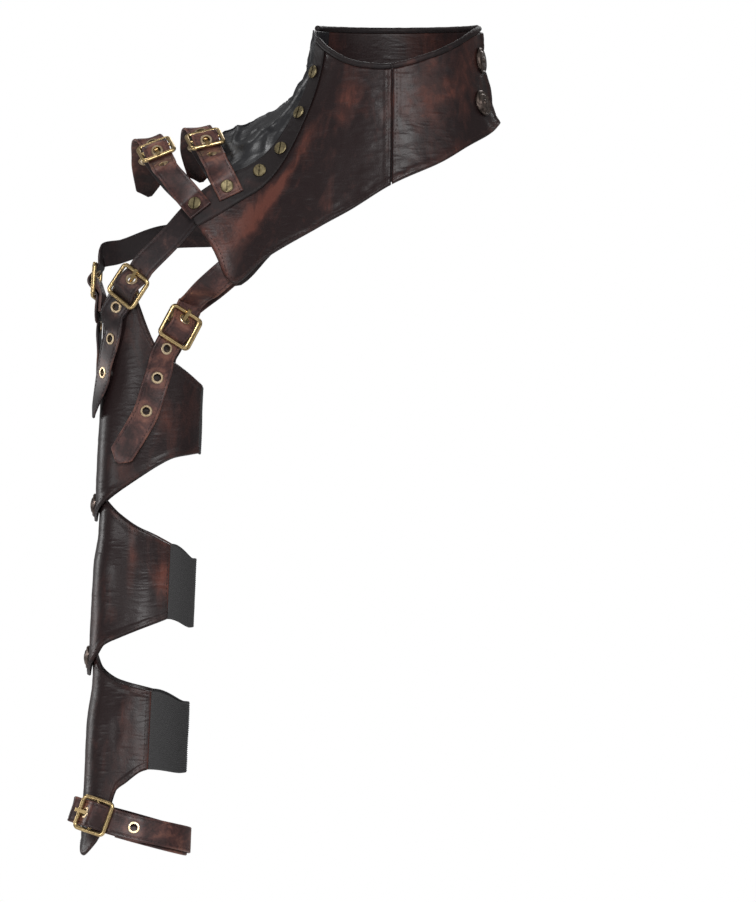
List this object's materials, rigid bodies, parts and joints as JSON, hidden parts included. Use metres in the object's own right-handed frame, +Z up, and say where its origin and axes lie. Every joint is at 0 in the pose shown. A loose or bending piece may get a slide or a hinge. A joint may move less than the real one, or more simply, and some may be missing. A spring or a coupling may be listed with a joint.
{
  "type": "leather arm armour",
  "caption": "One-shoulder leather harness: standing collar and yoke, buckled straps, and riveted sleeve plates with elastic bands and a wrist strap.",
  "frame": {"origin": "middle of the collar's neck opening, level with the base of the neck", "axes": "+Z up along the neck, -Y to the wearer's front, +X to the wearer's left; the armoured arm hangs at -X"},
  "size_m": [0.3307, 0.1688, 0.6395],
  "materials": {
    "armour_leather": "glossy, rubbed to reddish brown",
    "soft_black": "soft, glossy",
    "trim_leather": "satin",
    "elastic_web": "ribbed",
    "strap_leather": "satin, worn edges",
    "buckle_brass": "polished, worn",
    "ornate_brass": "antique, dark",
    "antique_brass": "antique, satin"
  },
  "bodies": {
    "harness": {"front_yoke": "armour_leather", "back_yoke": "armour_leather", "collar_binding": "trim_leather", "shoulder_panel": "soft_black", "front_strip": "trim_leather", "back_strip": "trim_leather", "front_screws": "antique_brass", "front_screw_posts": "antique_brass", "back_screws": "antique_brass", "back_screw_posts": "antique_brass", "snap_studs": "antique_brass", "upper_plate": "armour_leather", "upper_elastic": "elastic_web", "upper_rivet": "ornate_brass", "upper_washer": "antique_brass", "shoulder_outer_strap": "strap_leather", "shoulder_outer_buckle": "buckle_brass", "shoulder_outer_tab": "trim_leather", "shoulder_outer_eyelets": "antique_brass", "shoulder_inner_strap": "strap_leather", "shoulder_inner_buckle": "buckle_brass", "shoulder_inner_tab": "trim_leather", "shoulder_inner_eyelets": "antique_brass", "front_outer_strap": "strap_leather", "front_outer_buckle": "buckle_brass", "front_outer_tab": "trim_leather", "front_outer_eyelets": "antique_brass", "front_inner_strap": "strap_leather", "front_inner_buckle": "buckle_brass", "front_inner_tab": "trim_leather", "front_inner_eyelets": "antique_brass", "back_outer_strap": "strap_leather", "back_outer_buckle": "buckle_brass", "back_outer_tab": "trim_leather", "back_outer_eyelets": "antique_brass", "back_inner_strap": "strap_leather", "back_inner_buckle": "buckle_brass", "back_inner_tab": "trim_leather", "back_inner_eyelets": "antique_brass"},
    "flap": {"collar_flap": "armour_leather", "flap_binding": "trim_leather", "snap_caps": "ornate_brass"},
    "elbow": {"elbow_plate": "armour_leather", "elbow_elastic": "elastic_web", "lower_rivet": "ornate_brass", "lower_washer": "antique_brass"},
    "forearm": {"forearm_plate": "armour_leather", "forearm_elastic": "elastic_web", "wrist_strap": "strap_leather", "wrist_buckle": "buckle_brass", "wrist_tab": "trim_leather", "wrist_eyelets": "antique_brass"},
    "shoulder_outer_prong": {"shoulder_outer_tongue": "buckle_brass"},
    "shoulder_inner_prong": {"shoulder_inner_tongue": "buckle_brass"},
    "front_outer_prong": {"front_outer_tongue": "buckle_brass"},
    "front_inner_prong": {"front_inner_tongue": "buckle_brass"},
    "back_outer_prong": {"back_outer_tongue": "buckle_brass"},
    "back_inner_prong": {"back_inner_tongue": "buckle_brass"},
    "wrist_prong": {"wrist_tongue": "buckle_brass"}
  },
  "joints": [
    {"name": "collar_opening", "type": "hinge", "parent": "harness", "child": "flap", "pos_m": [-0.0023, -0.066, 0.0453], "axis": [-0.0073, -0.208, -0.9781], "range_deg": [0, 45]},
    {"name": "elbow_pivot", "type": "hinge", "parent": "harness", "child": "elbow", "pos_m": [-0.23084, 0.012, -0.289], "axis": [-0.9992, 0, 0.0404], "range_deg": [-5, 25]},
    {"name": "forearm_pivot", "type": "hinge", "parent": "elbow", "child": "forearm", "pos_m": [-0.23558, -0.00001, -0.406], "axis": [-0.9992, 0, 0.0404], "range_deg": [-5, 14]},
    {"name": "shoulder_outer_tongue_lift", "type": "hinge", "parent": "harness", "child": "shoulder_outer_prong", "pos_m": [-0.1835, -0.018, -0.0155], "axis": [-0.9289, -0.0621, -0.365], "range_deg": [0, 5.5]},
    {"name": "shoulder_inner_tongue_lift", "type": "hinge", "parent": "harness", "child": "shoulder_inner_prong", "pos_m": [-0.146, -0.018, -0.0075], "axis": [-0.9664, -0.1211, -0.2266], "range_deg": [0, 5.5]},
    {"name": "front_outer_tongue_lift", "type": "hinge", "parent": "harness", "child": "front_outer_prong", "pos_m": [-0.20469, -0.03033, -0.12087], "axis": [0.7226, -0.364, -0.5877], "range_deg": [0, 5.5]},
    {"name": "front_inner_tongue_lift", "type": "hinge", "parent": "harness", "child": "front_inner_prong", "pos_m": [-0.16538, -0.03069, -0.15182], "axis": [0.7813, 0.3737, -0.4999], "range_deg": [0, 5.5]},
    {"name": "back_outer_tongue_lift", "type": "hinge", "parent": "harness", "child": "back_outer_prong", "pos_m": [-0.23026, 0.02018, -0.11672], "axis": [-0.1665, -0.9762, 0.1391], "range_deg": [0, 5.5]},
    {"name": "back_inner_tongue_lift", "type": "hinge", "parent": "harness", "child": "back_inner_prong", "pos_m": [-0.16538, 0.05469, -0.15182], "axis": [-0.7813, 0.3737, 0.4999], "range_deg": [0, 5.5]},
    {"name": "wrist_tongue_lift", "type": "hinge", "parent": "forearm", "child": "wrist_prong", "pos_m": [-0.23006, -0.06995, -0.52542], "axis": [0.3376, 0.0881, 0.9372], "range_deg": [0, 5.5]}
  ]
}
